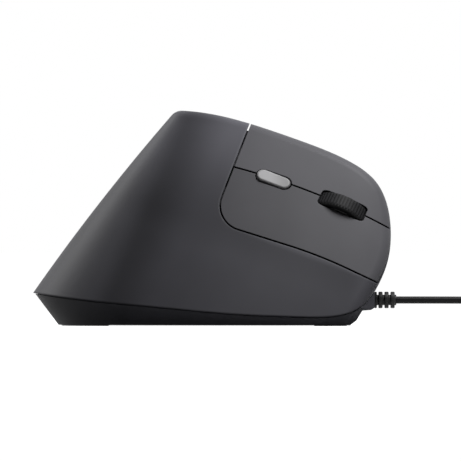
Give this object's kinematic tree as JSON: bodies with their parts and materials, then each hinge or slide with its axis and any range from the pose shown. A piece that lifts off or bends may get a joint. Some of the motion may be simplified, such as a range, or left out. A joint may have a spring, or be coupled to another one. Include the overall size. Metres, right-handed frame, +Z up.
{
  "type": "vertical mouse",
  "caption": "Wired vertical mouse with finger keys, a ribbed scroll wheel, a speed button, thumb buttons and a cord put away in a coil.",
  "frame": {"origin": "middle of the body's box at the desk, cord left out", "axes": "+X to the cord end, -Y the finger side, +Y the thumb side, +Z up"},
  "size_m": [0.2514, 0.0829, 0.0712],
  "materials": {
    "shell": "fine satin texture",
    "key": "fine satin texture",
    "panel": "fine matt texture",
    "button": "satin",
    "tray": "matt",
    "foot": "smooth low-friction sheet",
    "screw": "plain",
    "tyre": "moulded with cross ribs",
    "wheel_plastic": "as moulded",
    "beam": "clear dark",
    "board": "solder mask",
    "switch": "as moulded",
    "plunger": "as moulded",
    "chip": "moulded package",
    "lens": "clear",
    "lamp": "clear red",
    "socket": "as moulded",
    "boot": "soft ribbed",
    "cord": "smooth jacket",
    "plug": "satin",
    "plug_metal": "bright nickel",
    "tongue": "as moulded"
  },
  "bodies": {
    "housing": {"main_shell": "shell", "thumb_panel": "panel", "base_tray": "tray", "rear_foot": "foot", "front_foot": "foot", "base_screws": "screw", "board_screws": "screw", "tray_screws": "screw", "inner_frame": "wheel_plastic", "wheel_emitter": "beam", "wheel_receiver": "beam", "button_board": "board", "side_board": "board", "main_board": "board", "left_switch": "switch", "right_switch": "switch", "speed_switch": "switch", "click_switch": "switch", "back_switch": "switch", "forward_switch": "switch", "sensor": "chip", "sensor_lens": "lens", "sensor_light": "lamp", "cable_socket": "socket", "cable_boot": "boot", "cord_inside": "cord", "cord_run": "cord", "cord_coil": "cord", "cord_tail": "cord", "plug_overmould": "plug", "plug_shell": "plug_metal", "plug_tongue": "tongue"},
    "left_key": {"left_key": "key"},
    "right_key": {"right_key": "key"},
    "left_plunger": {"left_plunger": "plunger"},
    "right_plunger": {"right_plunger": "plunger"},
    "wheel_carriage": {"wheel_carriage": "wheel_plastic"},
    "wheel": {"wheel_hub": "wheel_plastic", "wheel_tyre": "tyre"},
    "click_plunger": {"click_plunger": "plunger"},
    "speed_button": {"speed_button": "button"},
    "speed_plunger": {"speed_plunger": "plunger"},
    "back_button": {"back_button": "button"},
    "back_plunger": {"back_plunger": "plunger"},
    "forward_button": {"forward_button": "button"},
    "forward_plunger": {"forward_plunger": "plunger"}
  },
  "joints": [
    {"name": "left_press", "type": "hinge", "parent": "housing", "child": "left_key", "pos_m": [0.00783, -0.00418, 0.05795], "axis": [0.3525, 0.5516, 0.7559], "range_deg": [0, 0.55], "stiffness_Nm_per_rad": 3, "springref_deg": -0.34},
    {"name": "right_press", "type": "hinge", "parent": "housing", "child": "right_key", "pos_m": [0.00184, -0.01356, 0.0451], "axis": [0.3525, 0.5516, 0.7559], "range_deg": [0, 0.55], "stiffness_Nm_per_rad": 3, "springref_deg": -0.34},
    {"name": "left_switch_travel", "type": "slide", "parent": "housing", "child": "left_plunger", "axis": [-0.1154, 0.8272, -0.5499], "range_m": [0, 0.0003]},
    {"name": "right_switch_travel", "type": "slide", "parent": "housing", "child": "right_plunger", "axis": [-0.1154, 0.8272, -0.5499], "range_m": [0, 0.0003]},
    {"name": "wheel_click", "type": "hinge", "parent": "housing", "child": "wheel_carriage", "pos_m": [0.03114, -0.00611, 0.03924], "axis": [0.3525, 0.5516, 0.7559], "range_deg": [0, 1.6], "stiffness_Nm_per_rad": 1, "springref_deg": -0.57},
    {"name": "wheel_spin", "type": "hinge", "parent": "wheel_carriage", "child": "wheel", "pos_m": [0.04182, -0.00734, 0.03515], "axis": [0.3525, 0.5516, 0.7559], "continuous": true},
    {"name": "click_switch_travel", "type": "slide", "parent": "housing", "child": "click_plunger", "axis": [-0.1154, 0.8272, -0.5499], "range_m": [0, 0.00035]},
    {"name": "speed_press", "type": "slide", "parent": "housing", "child": "speed_button", "axis": [-0.1154, 0.8272, -0.5499], "range_m": [0, 0.0003], "stiffness_N_per_m": 1500, "springref_m": -0.0002},
    {"name": "speed_switch_travel", "type": "slide", "parent": "housing", "child": "speed_plunger", "axis": [-0.1154, 0.8272, -0.5499], "range_m": [0, 0.0003]},
    {"name": "back_press", "type": "slide", "parent": "housing", "child": "back_button", "axis": [0, -1, 0], "range_m": [0, 0.0004], "stiffness_N_per_m": 1500, "springref_m": -0.0002},
    {"name": "back_switch_travel", "type": "slide", "parent": "housing", "child": "back_plunger", "axis": [0, -1, 0], "range_m": [0, 0.0004]},
    {"name": "forward_press", "type": "slide", "parent": "housing", "child": "forward_button", "axis": [0, -1, 0], "range_m": [0, 0.0004], "stiffness_N_per_m": 1500, "springref_m": -0.0002},
    {"name": "forward_switch_travel", "type": "slide", "parent": "housing", "child": "forward_plunger", "axis": [0, -1, 0], "range_m": [0, 0.0004]}
  ],
  "couplings": [
    {"joint": "left_switch_travel", "follows": "left_press", "m_per_rad": 0.031},
    {"joint": "right_switch_travel", "follows": "right_press", "m_per_rad": 0.031},
    {"joint": "click_switch_travel", "follows": "wheel_click", "m_per_rad": 0.0121},
    {"joint": "speed_switch_travel", "follows": "speed_press", "ratio": 1},
    {"joint": "back_switch_travel", "follows": "back_press", "ratio": 1},
    {"joint": "forward_switch_travel", "follows": "forward_press", "ratio": 1}
  ]
}
